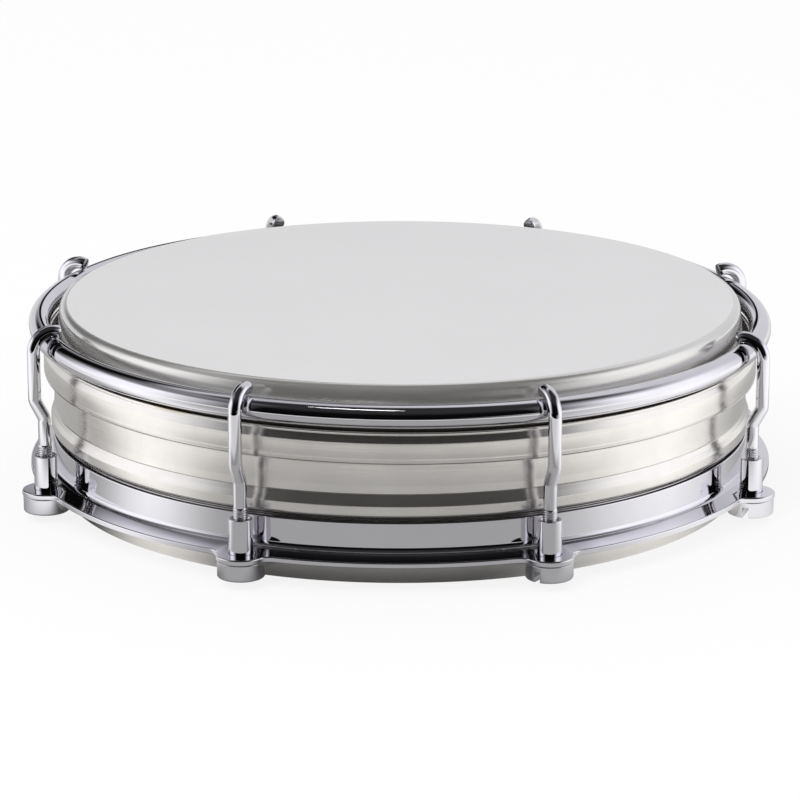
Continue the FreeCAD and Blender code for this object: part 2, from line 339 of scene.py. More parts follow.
class FinishSettings(PropertyGroup):
    """Colours and roughness of the finishes."""

    satin: colour("Satin", (0.78, 0.755, 0.72), "Spun aluminium of shell and flesh hoop")
    satin_roughness: share("Satin roughness", 0.2, "Roughness of the spun aluminium")
    # Painted shade: the colour that stands in for the shadow in the hem's groove and under the shell's bead.
    polish: colour("Settled polish", (0.11, 0.10, 0.09), "Polish in the hem's groove and under the bead")
    chrome: colour("Chrome", (0.74, 0.73, 0.76), "Plating of rods, ring and nuts")
    chrome_roughness: share("Chrome roughness", 0.025, "Roughness of the plating")
    coating: colour("Coating", (0.745, 0.735, 0.745), "White coating of the playing face")
    collar: colour("Collar", (0.70, 0.69, 0.66), "Clear film over metal at the collar")
    resin: colour("Resin", (0.10, 0.085, 0.06), "Resin in the channel")
    stain: colour("Stain", (0.42, 0.36, 0.2), "Stain on the flesh hoop's hem")
    stain_place: place("Stain place", (-0.0455, -0.0625, 0.0341), "Middle of the stain")
    stain_reach: length("Stain reach", 7.5, "Radius of the stain")


class StageSettings(PropertyGroup):
    """Camera, lamps, floor, and the floor and room that metal shows."""

    camera_distance: length("Camera distance", 812.7, "From the camera to the point that it circles")
    camera_height: turn("Camera height", 17.064, "How far the camera stands above that point's level")
    camera_side: turn("Camera side", 0.75, "How far the camera stands to the right of the front")
    camera_tilt: turn("Camera tilt", 1.352, "How far the camera looks above that point")
    circled_height: length("Circled height", 2.14, "How far that point lies below the bottom rim")
    focal_pixels: share("Focal length", 3641.2, "Focal length in pixels of the photo's frame")
    floor_reach: length("Floor reach", 3000.0, "Half of the floor's width")
    floor_white: colour("Floor", (0.98, 0.98, 0.98), "The floor under the drum's soft shadow")
    floor_glow: share("Floor glow", 0.86, "Share of the floor's white that no shadow reaches")
    # Painted contact shadow in the floor's emission that metal sees.
    contact: share("Contact", 0.18, "How bright the floor at the rim is, as a share of the floor beyond")
    painted_shadow_reach: share("Contact reach", 1.25, "Where that shade ends, in radii of the drum")
    side_painted_contact_shadow: share("Side contact", 0.8, "The same share at the sides")
    side_painted_shadow_reach: share("Side contact reach", 1.1, "Where the shade at the sides ends, in radii")
    floor_near: share("Floor nearby", 0.455, "Brightness of the floor round the drum")
    floor_middle: share("Floor farther off", 0.345, "Brightness of the floor before its front edge")
    middle_near: length("Floor dims", 138.0, "Where the floor in front begins to show darker")
    floor_band: share("Floor band", 0.8, "Brightness of the floor's front edge")
    band_near: length("Band begins", 163.0, "Where the brighter front edge of the floor begins")
    band_far: length("Floor ends", 245.0, "Where the floor ends in front, for metal alone")
    floor_beside: share("Floor beside", 1.12, "Brightness of the floor close by at the sides")
    side_far: length("Side brightens", 145.0, "Where the floor at the sides is as bright as the side screens")
    left_middle: turn("Left middle", 87.0, "Direction of the brightest floor on the left, from the front")
    left_half: turn("Left half", 30.0, "How far that floor reaches to both sides of its middle")
    right_middle: turn("Right middle", 95.0, "Direction of the brightest floor on the right, from the front")
    right_half: turn("Right half", 54.0, "How far that floor reaches to both sides of its middle")
    widens_from: share("Widens from", 1.95, "Where both begin to reach wider, in radii of the drum")
    widens_to: share("Widens to", 2.25, "Where both reach their full width, in radii of the drum")
    far_widens: share("Far widens", 1.55, "How much wider they then reach")
    flag_back: length("Flag distance", 600.0, "How far in front the lines meet between which the flag stands")
    flag_middle: share("Flag middle", -0.072, "Slope of the dark flag's middle line, behind on the left")
    flag_half: share("Flag half width", 0.075, "Half width of that flag, as such a slope")
    room_tint: colour("Room tint", (0.95, 0.95, 1.0), "Tint of the room that metal shows")
    dome_strength: share("Dome strength", 0.82, "Soft light from all round")
    front_wall: share("Front", 0.004, "Brightness of the dark room in front, and of the flag")
    back_wall: share("Back", 0.8, "Brightness of the screen behind")
    side_wall: share("Sides", 1.35, "Brightness of the screens at the sides")
    ceiling: share("Ceiling", 0.036, "Brightness of the dark room overhead")
    side_fades: turn("Side fades", 23.0, "Where the side screens begin to fade")
    left_fades: turn("Left fades", 38.0, "Where the left screen has faded to its dim upper part")
    left_upper: share("Left upper part", 0.28, "Brightness of the upper part of the screen on the left")
    back_fades: turn("Back fades", 56.0, "Where the screen behind begins to fade")
    screens_end: turn("Screens end", 60.0, "Where the screens end")
    lamp_place: place("Lamp", (-0.5, -0.7, 1.1), "Place of the soft lamp")
    lamp_power: share("Lamp power", 5.0, "Power of the soft lamp in watts")
    strip_place: place("Strip", (-0.12, -0.19, 1.05), "Place of the strip lamp")
    strip_power: share("Strip power", 0.25, "Power of the strip lamp in watts")


def section_wire(bm, corners, closed):
    """A line through corners in the XZ half plane; a corner is (radius, height, bend)."""
    verts = [bm.verts.new((radius, 0, height)) for radius, height, bend in corners]
    followers = verts[1:] + verts[:1] if closed else verts[1:]
    for vert, follower in zip(verts, followers):
        bm.edges.new((vert, follower))
    for vert, (radius, height, bend) in zip(verts, corners):
        if bend:
            back, forth = (edge.other_vert(vert).co - vert.co for edge in vert.link_edges)
            opening = back.angle(forth)
            bmesh.ops.bevel(
                bm,
                geom=[vert],
                offset=bend / math.tan(opening / 2),
                offset_type="OFFSET",
                segments=max(3, round((math.pi - opening) / BEND_STEP)),
                profile=0.5,
                affect="VERTICES",
                material=-1,
                clamp_overlap=False,
            )


def sheet_corners(outer, wall):
    """Corners of a closed section: a sheet's outer side, then its inner side, which lies to the left."""
    inner = []
    for index, (radius, height, bend) in enumerate(outer):
        here = Vector((radius, height))
        sides = []
        for step in (-1, 1):
            if 0 <= index + step < len(outer):
                along = (Vector(outer[index + step][:2]) - here).normalized() * step
                sides.append(Vector((-along.y, along.x)))
        first, last = sides[0], sides[-1]
        moved = here + (first + last) * (wall / (1 + first.dot(last)))
        if bend:
            closing = first.x * last.y - first.y * last.x > 0
            bend = max(bend - wall, wall * 0.05) if closing else bend + wall
        inner.append((moved.x, moved.y, bend))
    return list(outer) + inner[::-1]


def spin_full(bm, steps):
    """Turns everything once round the Z axis and closes seams and poles."""
    bmesh.ops.spin(
        bm,
        geom=bm.verts[:] + bm.edges[:],
        cent=(0, 0, 0),
        axis=(0, 0, 1),
        angle=math.tau,
        steps=steps,
        use_merge=True,
    )
    bmesh.ops.remove_doubles(bm, verts=bm.verts, dist=0.001 * MM)
    bmesh.ops.recalc_face_normals(bm, faces=bm.faces)


def turned(corners, steps, closed=True):
    """A section turned once round the Z axis; an open section ends on the axis."""
    bm = bmesh.new()
    section_wire(bm, corners, closed)
    spin_full(bm, steps)
    return bm


def direction_of(place):
    """The angle from +X at which a place lies round the drum."""
    return math.atan2(place.y, place.x)


def pointing(angle):
    """The unit vector in the plane at an angle from +X."""
    return Vector((math.cos(angle), math.sin(angle)))


def rotated(bm, angle):
    """Turns a whole piece round the Z axis."""
    bmesh.ops.rotate(bm, cent=(0, 0, 0), matrix=Matrix.Rotation(angle, 3, "Z"), verts=bm.verts)


def second_material(bm, chosen):
    """Gives the second material to the faces that are chosen by radius and height."""
    for polygon in bm.faces:
        centre = polygon.calc_center_median()
        if chosen(centre.to_2d().length, centre.z):
            polygon.material_index = 1


def cut_away(bm, tool, broken_edge):
    """Cuts a closed tool out of a closed piece and breaks the piece's sharp edges."""
    blanks = []
    for name, source in (("blank", bm), ("tool", tool)):
        mesh = bpy.data.meshes.new(name)
        source.to_mesh(mesh)
        blank = bpy.data.objects.new(name, mesh)
        bpy.context.scene.collection.objects.link(blank)
        blanks.append(blank)
    piece, cutter = blanks
    cut = piece.modifiers.new("cut", "BOOLEAN")
    cut.operation = "DIFFERENCE"
    cut.solver = "EXACT"
    cut.object = cutter
    if broken_edge:
        edge = piece.modifiers.new("broken_edges", "BEVEL")
        edge.limit_method = "ANGLE"
        edge.angle_limit = math.radians(60)
        edge.width = broken_edge
        edge.segments = 2
    shaped = piece.evaluated_get(bpy.context.evaluated_depsgraph_get())
    bm.clear()
    bm.from_mesh(shaped.data)
    tool.free()
    for blank in blanks:
        mesh = blank.data
        bpy.data.objects.remove(blank)
        bpy.data.meshes.remove(mesh)


def last_of(result, kind):
    """The last verts or edges that a spin or an extrusion made."""
    found = result.get("geom_last") or result["geom"]
    return [item for item in found if isinstance(item, kind)]


def clamped(value):
    """A value kept between 0 and 1."""
    return min(max(value, 0.0), 1.0)


def seat_on_drum(bm):
    """Leans hoops and claws as they sit on the drum; threads and channel keep their level places."""
    seat = bpy.context.scene.tamborim_seat
    for vert in bm.verts:
        above = (vert.co.z - seat.held_below) / (seat.free_above - seat.held_below)
        outside = (vert.co.to_2d().length - seat.held_inside) / seat.held_step
        free = clamped(above) * clamped(outside)
        vert.co.z += free * (seat.lift + seat.side * vert.co.x + seat.back * vert.co.y)


def make_piece(bm, name, materials, body, node, sharp_degrees=32.0):
    """The finished object: smooth but for its sharp edges, on its body, in place of its CAD node."""
    old = bpy.data.objects.get(name)
    if old:
        bpy.data.objects.remove(old)
    if body == hoop_body:
        seat_on_drum(bm)
    mesh = bpy.data.meshes.new(name)
    bm.to_mesh(mesh)
    bm.free()
    mesh.shade_smooth()
    mesh.set_sharp_from_angle(angle=math.radians(sharp_degrees))
    for material in materials:
        mesh.materials.append(material)
    piece = bpy.data.objects.new(name, mesh)
    bpy.context.scene.collection.objects.link(piece)
    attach(piece, body)
    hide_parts(node)
    return piece


class Nodes:
    """A node tree under construction: adds nodes and joins them."""

    interpolation = "SMOOTHSTEP"

    def __init__(self, tree):
        self.tree = tree

    def node(self, kind, **settings):
        """Adds a node; the settings are its own properties."""
        made = self.tree.nodes.new(kind)
        for key, value in settings.items():
            setattr(made, key, value)
        return made

    def feed(self, socket, value):
        """Joins an output to a socket, or sets the socket to a number or a colour."""
        if isinstance(value, bpy.types.NodeSocket):
            self.tree.links.new(value, socket)
        elif socket.type == "RGBA":
            socket.default_value = (*value, 1.0)
        else:
            socket.default_value = value

    def fed(self, kind, **values):
        """Adds a node and feeds its inputs by their names, written with low lines."""
        made = self.node(kind)
        for name, value in values.items():
            self.feed(made.inputs[name.replace("_", " ")], value)
        return made

    def maths(self, operation, first, second=0.0):
        """One sum of outputs or numbers."""
        made = self.node("ShaderNodeMath", operation=operation)
        self.feed(made.inputs[0], first)
        self.feed(made.inputs[1], second)
        return made.outputs["Value"]

    def times(self, first, second):
        """The product of outputs or numbers."""
        return self.maths("MULTIPLY", first, second)

    def ranged(self, value, low, high, to_low=0.0, to_high=1.0):
        """A value moved from one range to another."""
        limits = {"From_Min": low, "From_Max": high, "To_Min": to_low, "To_Max": to_high}
        made = self.fed("ShaderNodeMapRange", Value=value, **limits)
        made.interpolation_type = self.interpolation
        return made.outputs["Result"]

    def mixed(self, factor, first, second, kind="VALUE"):
        """Two numbers mixed, or two colours where the kind is RGBA."""
        made = self.node("ShaderNodeMix", data_type="RGBA" if kind == "RGBA" else "FLOAT")
        pair = [socket for socket in made.inputs if socket.type == kind and socket.name in ("A", "B")]
        for socket, value in zip((made.inputs["Factor"], *pair), (factor, first, second)):
            self.feed(socket, value)
        return next(socket for socket in made.outputs if socket.type == kind)


class Finish(Nodes):
    """A material under construction."""

    interpolation = "LINEAR"

    def __init__(self, name, metallic=0.0):
        old = bpy.data.materials.get(name)
        if old:
            bpy.data.materials.remove(old)
        self.material = bpy.data.materials.new(name)
        self.material.use_nodes = True
        super().__init__(self.material.node_tree)
        self.shader = self.tree.nodes["Principled BSDF"]
        self.give("Metallic", metallic)

    def give(self, socket, value):
        """Feeds an input of the shader."""
        self.feed(self.shader.inputs[socket], value)

    def place(self, stretch):
        """Object coordinates, stretched to set the grain of a pattern."""
        coordinates = self.node("ShaderNodeTexCoord").outputs["Object"]
        return self.fed("ShaderNodeMapping", Vector=coordinates, Scale=stretch).outputs["Vector"]

    def noise(self, scale, detail, roughness, stretch=(1, 1, 1)):
        """Cloudy noise."""
        grain = {"Scale": scale, "Detail": detail, "Roughness": roughness}
        return self.fed("ShaderNodeTexNoise", Vector=self.place(stretch), **grain).outputs["Fac"]

    def tinted(self, pattern, rgb, shares, low=0.3, high=0.7):
        """A colour that a pattern varies between two shares of itself."""
        tints = [tuple(min(1.0, channel * part) for channel in rgb) for part in shares]
        return self.mixed(self.ranged(pattern, low, high), *tints, "RGBA")

    def bump(self, height, strength, distance):
        """Surface relief from a height."""
        made = self.fed("ShaderNodeBump", Strength=strength, Distance=distance, Height=height)
        self.give("Normal", made.outputs["Normal"])


def spun_aluminium(name, settings, haze, stain=None):
    """Satin aluminium with fine turning lines and a cloudy polish."""
    finish = Finish(name, metallic=1.0 - haze)
    lines = finish.noise(scale=1.0, detail=3.0, roughness=0.6, stretch=(40, 40, 4200))
    clouds = finish.noise(scale=90.0, detail=3.0, roughness=0.6)
    grain = finish.noise(scale=5200.0, detail=1.0, roughness=0.5)
    rough = settings.satin_roughness
    base = finish.tinted(clouds, settings.satin, (0.95, 1.03))
    if stain:
        place, reach, colour_of_stain = stain
        flat = 5.0
        away = finish.node("ShaderNodeVectorMath", operation="DISTANCE")
        finish.feed(away.inputs[0], finish.place((1, 1, flat)))
        finish.feed(away.inputs[1], (place[0], place[1], place[2] * flat))
        stained = finish.ranged(away.outputs["Value"], reach * 0.5, reach, 0.75, 0.0)
        base = finish.mixed(stained, base, colour_of_stain, "RGBA")
    finish.give("Base Color", base)
    finish.give("Roughness", finish.ranged(lines, 0.25, 0.75, rough * 0.8, rough * 1.25))
    finish.bump(finish.maths("ADD", lines, grain), strength=0.12, distance=0.004 * MM)
    return finish.material


def painted_groove_shade(name, settings):
    """Dull dark aluminium: painted shade for the shadow in the hem's groove and in the gap under the bead."""
    finish = Finish(name, metallic=0.6)
    clouds = finish.noise(scale=300.0, detail=3.0, roughness=0.6)
    finish.give("Base Color", finish.tinted(clouds, settings.polish, (0.6, 1.0), 0.0, 1.0))
    finish.give("Roughness", finish.ranged(clouds, 0.3, 0.7, 0.35, 0.5))
    return finish.material


def chrome_plate(name, settings):
    """Polished plating with faint haze and ripple."""
    finish = Finish(name, metallic=1.0)
    rough = settings.chrome_roughness
    haze = finish.noise(scale=120.0, detail=4.0, roughness=0.65)
    ripple = finish.noise(scale=260.0, detail=1.0, roughness=0.4)
    finish.give("Base Color", finish.tinted(haze, settings.chrome, (1.0, 0.96)))
    finish.give("Roughness", finish.ranged(haze, 0.3, 0.75, rough * 0.6, rough * 1.8))
    finish.bump(ripple, strength=0.06, distance=0.012 * MM)
    return finish.material


def coated_film(name, settings):
    """White sprayed coating with a fine even tooth."""
    finish = Finish(name)
    tooth = finish.noise(scale=2600.0, detail=2.0, roughness=0.6)
    clouds = finish.noise(scale=28.0, detail=3.0, roughness=0.55)
    finish.give("Base Color", finish.tinted(clouds, settings.coating, (1.0, 0.985), 0.35, 0.65))
    finish.give("Roughness", finish.ranged(tooth, 0.3, 0.7, 0.5, 0.62))
    finish.give("Specular IOR Level", 0.3)
    finish.bump(tooth, strength=0.2, distance=0.01 * MM)
    return finish.material


def collar_film(name, settings):
    """Clear film drawn tight over the metal of the bearing edge."""
    finish = Finish(name, metallic=0.75)
    clouds = finish.noise(scale=2.0, detail=3.0, roughness=0.55, stretch=(30, 30, 260))
    finish.give("Coat Weight", 0.5)
    finish.give("Coat Roughness", 0.08)
    finish.give("Base Color", finish.tinted(clouds, settings.collar, (1.0, 1.08)))
    finish.give("Roughness", finish.ranged(clouds, 0.3, 0.7, 0.17, 0.25))
    finish.bump(clouds, strength=0.1, distance=0.02 * MM)
    return finish.material


def cast_resin(name, settings):
    """Dark resin, glossy where it set against the air."""
    finish = Finish(name)
    clouds = finish.noise(scale=400.0, detail=3.0, roughness=0.6)
    finish.give("Base Color", finish.tinted(clouds, settings.resin, (1.0, 1.8), 0.0, 1.0))
    finish.give("Roughness", finish.ranged(clouds, 0.3, 0.7, 0.2, 0.4))
    finish.bump(clouds, strength=0.3, distance=0.05 * MM)
    return finish.material


class BuildShell(Operator):
    """Spin the shell: rim, lower wall, bead, crisp crease, wall, neck and bearing edge"""

    bl_idname = "tamborim.build_shell"
    bl_label = "Shell"

    def execute(self, context):
        sizes = context.scene.tamborim_shell
        finishes = context.scene.tamborim_finish
        bm = turned(sheet_corners(self.outer_side(sizes), sizes.wall), SHELL_STEPS)
        # Faces round the bead's underside get painted shade, standing in for the shadow gap above the tension
        # ring.
        near = sizes.root_bend * 2
        second_material(bm, lambda radius, height: abs(height - sizes.bead_base) < near)
        materials = [spun_aluminium("spun_satin", finishes, 0.07), painted_groove_shade("bead_painted_shade", finishes)]
        make_piece(bm, "spun_shell", materials, shell_body, "shell", 28.0)
        return {"FINISHED"}

    def outer_side(self, sizes):
        """Corners of the sheet's outer side, from the turned-in rim up to the bearing edge."""
        bead = shell_high.x
        crest = shell_high.z
        line = sizes.crease_line
        flared = sizes.wall_radius + sizes.flare
        return [
            (sizes.lower_radius - sizes.turn_in, shell_low.z, 0),
            (sizes.lower_radius, shell_low.z, sizes.rim_bend),
            (sizes.lower_radius, sizes.bead_base, sizes.root_bend),
            (bead, sizes.bead_base, sizes.under_bend),
            (bead, sizes.bead_top, sizes.face_bend),
            (sizes.knee_radius, sizes.knee, sizes.flare_height),
            (flared, sizes.crease - line, 0),
            (flared - line, sizes.crease, 0),
            (flared, sizes.crease + line, 0),
            (sizes.wall_radius, sizes.crease + sizes.flare_height, sizes.flare_height * 4),
            (sizes.wall_radius, sizes.neck_base, sizes.neck_bend),
            (sizes.neck_radius, sizes.neck_top, sizes.neck_bend),
            (sizes.neck_radius, crest, sizes.edge_bend),
            (sizes.neck_radius - sizes.edge_width, crest, 0),
        ]


class BuildRing(Operator):
    """Turn the tension ring, draw out its ears and drill them"""

    bl_idname = "tamborim.build_ring"
    bl_label = "Tension ring"

    def execute(self, context):
        sizes = context.scene.tamborim_ring
        half = self.half_outline(sizes)
        bm = turned(self.section(sizes), len(nut_places) * 2 * (len(half) - 1))
        self.draw_ears(bm, sizes, half)
        cut_away(bm, self.drills(sizes), 0)
        plating = chrome_plate("ring_chrome", context.scene.tamborim_finish)
        make_piece(bm, "eared_tension_ring", [plating], shell_body, "tension_ring", 40.0)
        return {"FINISHED"}

    def section(self, sizes):
        """Corners of the L-section, as if the flange had no ears."""
        outer = sizes.wall_radius
        inner = outer - sizes.wall
        low = ring_low.z
        top = ring_high.z - sizes.bead_gap
        flange_top = low + sizes.flange_thickness
        near = sizes.flange_round * 1.2
        return [
            (inner, low, sizes.flange_round * 0.5),
            (nut_circle - near, low, 0),
            (nut_circle, low, sizes.flange_round),
            (nut_circle, flange_top, sizes.flange_round),
            (nut_circle - near, flange_top, 0),
            (outer, flange_top + sizes.flange_rise, sizes.root_fillet),
            (outer, top - sizes.wall_round * 1.2, 0),
            (outer, top, sizes.wall_round),
            (inner, top, sizes.flange_round),
        ]

    def drills(self, sizes):
        """Cylinders that stand where the ears' holes go."""
        drills = bmesh.new()
        for place in nut_places:
            bmesh.ops.create_cone(
                drills,
                cap_ends=True,
                segments=HOLE_STEPS,
                radius1=sizes.hole_radius,
                radius2=sizes.hole_radius,
                depth=4 * sizes.flange_thickness,
                matrix=Matrix.Translation((place.x, place.y, ring_low.z)),
            )
        return drills

    def half_outline(self, sizes):
        """Points and outward directions from an ear's tip to halfway to the next ear on the left."""
        ear = Vector((nut_circle, 0))
        blend_circle = nut_circle + sizes.ear_blend
        reach = sizes.ear_radius + sizes.ear_blend
        cosine = (nut_circle**2 + blend_circle**2 - reach**2) / (2 * nut_circle * blend_circle)
        beside = math.acos(cosine)
        blend = pointing(beside) * blend_circle
        leaves = direction_of(blend - ear)
        half_way = math.pi / len(nut_places)
        arcs = (
            (ear, sizes.ear_radius, 0.0, leaves, sizes.ear_steps, 0),
            (blend, -sizes.ear_blend, leaves, beside, sizes.blend_steps, 0),
            (Vector((0, 0)), nut_circle, beside, half_way, sizes.flange_steps, 1),
        )
        half = []
        for centre, radius, first, last, steps, closing in arcs:
            for step in range(steps + closing):
                outwards = pointing(first + (last - first) * step / steps)
                half.append((centre + outwards * radius, outwards))
        return half

    def draw_ears(self, bm, sizes, half):
        """Moves each column of the turned ring onto the outline that has ears."""
        reach = len(half) - 1
        columns = len(nut_places) * 2 * reach
        first_ear = direction_of(nut_places[0])
        for vert in bm.verts:
            column = round(direction_of(vert.co) / math.tau * columns) % columns
            ear, place = divmod(column, 2 * reach)
            point, outwards = half[abs(place - reach)]
            inset = nut_circle - vert.co.to_2d().length
            moved = point - outwards * inset
            if inset > sizes.flange_round * 2:
                moved = point.normalized() * (nut_circle - inset)
            if place < reach:
                moved.y = -moved.y
            at_ear = Matrix.Rotation(first_ear + ear * math.tau / len(nut_places), 3, "Z")
            moved = at_ear @ moved.to_3d()
            vert.co = (moved.x, moved.y, vert.co.z)


class BuildHead(Operator):
    """Turn the film: coated disc, rounded edge, collar and skirt"""

    bl_idname = "tamborim.build_head"
    bl_label = "Head film"

    def execute(self, context):
        sizes = context.scene.tamborim_film
        settings = context.scene.tamborim_finish
        top = film_high.z
        bottom = film_low.z
        face = top - sizes.coat_step
        under = top - sizes.thickness
        skirt_radius = film_high.x
        inner_skirt = skirt_radius - sizes.thickness
        tuck = bottom + sizes.tuck_height
        lean = math.atan((skirt_radius - sizes.collar_radius) / (face - tuck))
        inner_collar = sizes.collar_radius - sizes.thickness / math.cos(lean)
        corners = [
            (0, top, 0),
            (sizes.coat_radius - sizes.coat_step, top, 0),
            (sizes.coat_radius, face, 0),
            (sizes.collar_radius, face, sizes.edge_bend),
            (skirt_radius, tuck, sizes.skirt_bend),
            (skirt_radius, bottom, 0),
            (inner_skirt, bottom, 0),
            (inner_skirt, tuck, sizes.skirt_bend - sizes.thickness),
            (inner_collar, under, sizes.edge_bend - sizes.thickness),
            (0, under, 0),
        ]
        bm = turned(corners, HOOP_STEPS, closed=False)
        second_material(bm, lambda radius, height: radius >= sizes.coat_radius)
        materials = [coated_film("film_coating", settings), collar_film("film_collar", settings)]
        make_piece(bm, "playing_film", materials, shell_body, "head_film", 25.0)
        return {"FINISHED"}


class BuildFleshHoop(Operator):
    """Turn the flesh hoop: channel, grooved skirt and rolled hem"""

    bl_idname = "tamborim.build_flesh_hoop"
    bl_label = "Flesh hoop"

    def execute(self, context):
        sizes = context.scene.tamborim_flesh_hoop
        finishes = context.scene.tamborim_finish
        plain = skirt_high.x
        top = skirt_high.z
        outer = plain + sizes.spread
        inside = outer - sizes.wall
        bottom = skirt_low.z + sizes.trim
        hem = top - sizes.hem_radius
        hem_outer = plain - sizes.hem_depth
        hem_inner = plain - 2 * sizes.hem_radius
        hem_under = top - sizes.hem_height
        hem_bend = sizes.hem_height * 0.49
        rounding = sizes.roll_radius
        roll_low = hem - sizes.roll_drop - rounding
        roll_high = hem - sizes.roll_drop + rounding
        roll_outer = outer - sizes.roll_depth
        groove = plain - sizes.groove_depth
        floor_top = hem - sizes.floor_drop
        floor_under = floor_top - sizes.floor_wall
        inner_top = floor_top + sizes.inner_height
        inner_outer = sizes.inner_radius + sizes.inner_wall
        crease = bottom + sizes.crease_height
        crease_half = sizes.wall * 0.2
        line = sizes.edge_line
        corners = [
            (outer, bottom, sizes.edge_round),
            (outer, bottom + line, 0),
            (outer - line, bottom + line * 2, 0),
            (outer, bottom + line * 4, 0),
            (outer, crease - crease_half, 0),
            (outer - sizes.crease_depth, crease, 0),
            (outer, crease + crease_half, 0),
            (outer, hem - sizes.shoulder_drop, sizes.shoulder_bend),
            (outer - sizes.slope_depth, roll_low, rounding * 0.3),
            (roll_outer, roll_low, rounding * 0.6),
            (roll_outer, roll_high, rounding * 0.95),
            (groove + sizes.groove_lean, roll_high, rounding * 0.3),
            (groove, hem_under, rounding * 0.2),
            (hem_outer, hem_under, hem_bend),
            (hem_outer, top, hem_bend),
            (hem_inner, top, hem_bend),
            (hem_inner, floor_top, 0),
            (inner_outer, floor_top, 0),
            (inner_outer, inner_top, 0),
            (sizes.inner_radius, inner_top, 0),
            (sizes.inner_radius, floor_under, 0),
            (inside, floor_under, 0),
            (inside, bottom, sizes.edge_round),
        ]
        bm = turned(corners, HOOP_STEPS)
        # Faces in the groove between hem and small roll get painted shade, standing in for the shadow there.
        lowest, highest = roll_high - rounding * 0.5, hem_under + rounding * 0.1
        least, most = groove - sizes.wall * 0.1, roll_outer - rounding * 0.6
        second_material(
            bm, lambda radius, height: least < radius < most and lowest < height < highest
        )
        stain = (finishes.stain_place, finishes.stain_reach, finishes.stain)
        satin = spun_aluminium("hoop_satin", finishes, 0.05, stain)
        materials = [satin, painted_groove_shade("groove_painted_shade", finishes)]
        make_piece(bm, "rolled_flesh_hoop", materials, hoop_body, "flesh_hoop")
        return {"FINISHED"}


class BuildResin(Operator):
    """Turn the resin bead that locks the film in the channel"""

    bl_idname = "tamborim.build_resin"
    bl_label = "Hoop resin"

    def execute(self, context):
        sag = context.scene.tamborim_resin.sag
        width = context.scene.tamborim_resin.width
        outer = resin_high.x
        inner = outer - width
        corners = [
            (inner, resin_low.z, 0),
            (outer, resin_low.z, 0),
            (outer, resin_high.z, 0),
            (outer - width / 2, resin_high.z - sag, sag),
            (inner, resin_high.z, 0),
        ]
        bm = turned(corners, RESIN_STEPS)
        resin = cast_resin("amber_resin", context.scene.tamborim_finish)
        make_piece(bm, "resin_bead", [resin], hoop_body, "hoop_resin")
        return {"FINISHED"}


class BuildCounterhoop(Operator):
    """Bend the round bar into a ring and weld it"""

    bl_idname = "tamborim.build_counterhoop"
    bl_label = "Counterhoop"

    def execute(self, context):
        sizes = context.scene.tamborim_counterhoop
        bm = bmesh.new()
        bmesh.ops.create_circle(bm, cap_ends=False, segments=BAR_SIDES, radius=bar_radius)
        upright = Matrix.Rotation(math.radians(90), 4, "X")
        centre_height = (bar_low.z + bar_high.z) / 2
        bmesh.ops.transform(bm, matrix=upright, verts=bm.verts)
        bmesh.ops.translate(bm, vec=(bar_circle, 0, centre_height), verts=bm.verts)
        spin_full(bm, BAR_STEPS)
        weld = pointing(sizes.weld_place) * bar_circle
        for vert in bm.verts:
            spread = (vert.co.to_2d() - weld).length / sizes.weld_width
            if spread < WELD_REACH:
                middle = vert.co.to_2d().normalized() * bar_circle
                outwards = vert.co - Vector((middle.x, middle.y, centre_height))
                vert.co += outwards.normalized() * sizes.weld_bulge * math.exp(-spread * spread)
        plating = chrome_plate("hoop_chrome", context.scene.tamborim_finish)
        make_piece(bm, "welded_counterhoop", [plating], hoop_body, "counterhoop")
        return {"FINISHED"}


def grow(bm, rim, step):
    """Extrudes the open rim of a rod by one straight step and returns the new rim."""
    result = bmesh.ops.extrude_edge_only(bm, edges=rim)
    bmesh.ops.translate(bm, vec=step, verts=last_of(result, bmesh.types.BMVert))
    return last_of(result, bmesh.types.BMEdge)


def bend(bm, rim, centre, angle, steps):
    """Bends the open rim of a rod round a centre in the XZ plane and returns the new rim."""
    verts = list({vert for edge in rim for vert in edge.verts})
    result = bmesh.ops.spin(
        bm, geom=verts + rim, cent=centre, axis=(0, 1, 0), angle=angle, steps=steps, use_merge=False
    )
    return last_of(result, bmesh.types.BMEdge)


def thread_reach(sizes, place, bottom, top):
    """Radius of the thread's surface at a place beside its axis."""
    turns = (place.z - bottom) / sizes.thread_pitch - direction_of(place) / math.tau
    flank = abs(2 * (turns % 1.0) - 1)
    crest = sizes.thread_radius - sizes.thread_depth * (1 - min(1.0, THREAD_FLANK * flank))
    run_out = clamped((top - place.z) / sizes.thread_pitch)
    chamfer = sizes.thread_radius - max(0.0, bottom + sizes.end_chamfer - place.z)
    return min(crest * run_out + sizes.rod_radius * (1 - run_out), chamfer)


